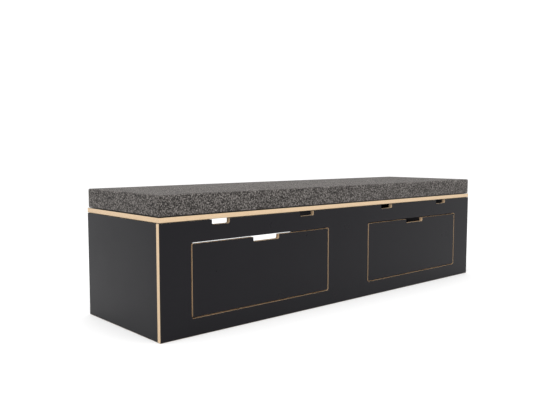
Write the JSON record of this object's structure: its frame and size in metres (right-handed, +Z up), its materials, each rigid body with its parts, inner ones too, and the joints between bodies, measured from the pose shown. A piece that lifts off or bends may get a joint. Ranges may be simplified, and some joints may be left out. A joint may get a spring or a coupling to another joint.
{
  "type": "wooden toy box",
  "caption": "Low wooden toy box with drawers in its front and a hinged lid that carries a long seat cushion.",
  "frame": {"origin": "on the floor, under the centre of the box's plan with its hinges", "axes": "+X to the right along the length, -Y out of the drawer fronts, +Z up"},
  "size_m": [1.56, 0.4383, 0.41],
  "materials": {
    "laminate_board": "satin black laminate over birch plywood, edges left bare",
    "birch_ply": "clear matt lacquer on birch plywood",
    "steel": "bright zinc plate",
    "glide_plastic": "matt",
    "bumper_rubber": "matt",
    "tweed_fabric": "grey melange tweed upholstery cloth",
    "seat_foam": "open-cell polyurethane foam",
    "hook_and_loop": "woven hook-and-loop tape",
    "zip_tape": "nylon coil zip"
  },
  "bodies": {
    "carcass": {"back_panel": "laminate_board", "centre_divider": "laminate_board", "front_left_floor_glide": "glide_plastic", "front_middle_floor_glide": "glide_plastic", "front_panel": "laminate_board", "front_right_floor_glide": "glide_plastic", "left_bay_left_slide_carrier": "birch_ply", "left_bay_right_slide_carrier": "birch_ply", "left_bottom_panel": "birch_ply", "left_drawer_left_slide_outer_rail": "steel", "left_drawer_right_slide_outer_rail": "steel", "left_hinge_box_leaf": "steel", "left_hinge_pin": "steel", "left_side_panel": "laminate_board", "middle_hinge_box_leaf": "steel", "middle_hinge_pin": "steel", "rear_left_floor_glide": "glide_plastic", "rear_middle_floor_glide": "glide_plastic", "rear_right_floor_glide": "glide_plastic", "right_bay_left_slide_carrier": "birch_ply", "right_bay_right_slide_carrier": "birch_ply", "right_bottom_panel": "birch_ply", "right_drawer_left_slide_outer_rail": "steel", "right_drawer_right_slide_outer_rail": "steel", "right_hinge_box_leaf": "steel", "right_hinge_pin": "steel", "right_side_panel": "laminate_board"},
    "lid": {"cushion_cover": "tweed_fabric", "cushion_foam": "seat_foam", "front_hook_tape": "hook_and_loop", "front_loop_tape": "hook_and_loop", "left_hinge_lid_leaf": "steel", "left_lid_bumper": "bumper_rubber", "lid_panel": "laminate_board", "middle_hinge_lid_leaf": "steel", "rear_hook_tape": "hook_and_loop", "rear_loop_tape": "hook_and_loop", "right_hinge_lid_leaf": "steel", "right_lid_bumper": "bumper_rubber", "zip_teeth": "zip_tape"},
    "left_drawer": {"left_drawer_back": "birch_ply", "left_drawer_bottom": "birch_ply", "left_drawer_front": "laminate_board", "left_drawer_left_side": "birch_ply", "left_drawer_left_slide_inner_rail": "steel", "left_drawer_right_side": "birch_ply", "left_drawer_right_slide_inner_rail": "steel"},
    "right_drawer": {"right_drawer_back": "birch_ply", "right_drawer_bottom": "birch_ply", "right_drawer_front": "laminate_board", "right_drawer_left_side": "birch_ply", "right_drawer_left_slide_inner_rail": "steel", "right_drawer_right_side": "birch_ply", "right_drawer_right_slide_inner_rail": "steel"},
    "left_middle_rails": {"left_drawer_left_slide_middle_rail": "steel", "left_drawer_right_slide_middle_rail": "steel"},
    "right_middle_rails": {"right_drawer_left_slide_middle_rail": "steel", "right_drawer_right_slide_middle_rail": "steel"},
    "zip_slider": {"zip_slider": "steel"}
  },
  "joints": [
    {"name": "lid_hinge", "type": "hinge", "parent": "carcass", "child": "lid", "pos_m": [0, 0.21515, 0.3307], "axis": [-1, 0, 0], "range_deg": [0, 80]},
    {"name": "left_drawer_slide", "type": "slide", "parent": "carcass", "child": "left_drawer", "axis": [0, -1, 0], "range_m": [0, 0.35]},
    {"name": "left_middle_rails_slide", "type": "slide", "parent": "carcass", "child": "left_middle_rails", "axis": [0, -1, 0], "range_m": [0, 0.175]},
    {"name": "right_drawer_slide", "type": "slide", "parent": "carcass", "child": "right_drawer", "axis": [0, -1, 0], "range_m": [0, 0.35]},
    {"name": "right_middle_rails_slide", "type": "slide", "parent": "carcass", "child": "right_middle_rails", "axis": [0, -1, 0], "range_m": [0, 0.175]},
    {"name": "zip_slide", "type": "slide", "parent": "lid", "child": "zip_slider", "axis": [1, 0, 0], "range_m": [0, 1.19]}
  ],
  "couplings": [
    {"joint": "left_middle_rails_slide", "follows": "left_drawer_slide", "ratio": 0.5},
    {"joint": "right_middle_rails_slide", "follows": "right_drawer_slide", "ratio": 0.5}
  ]
}
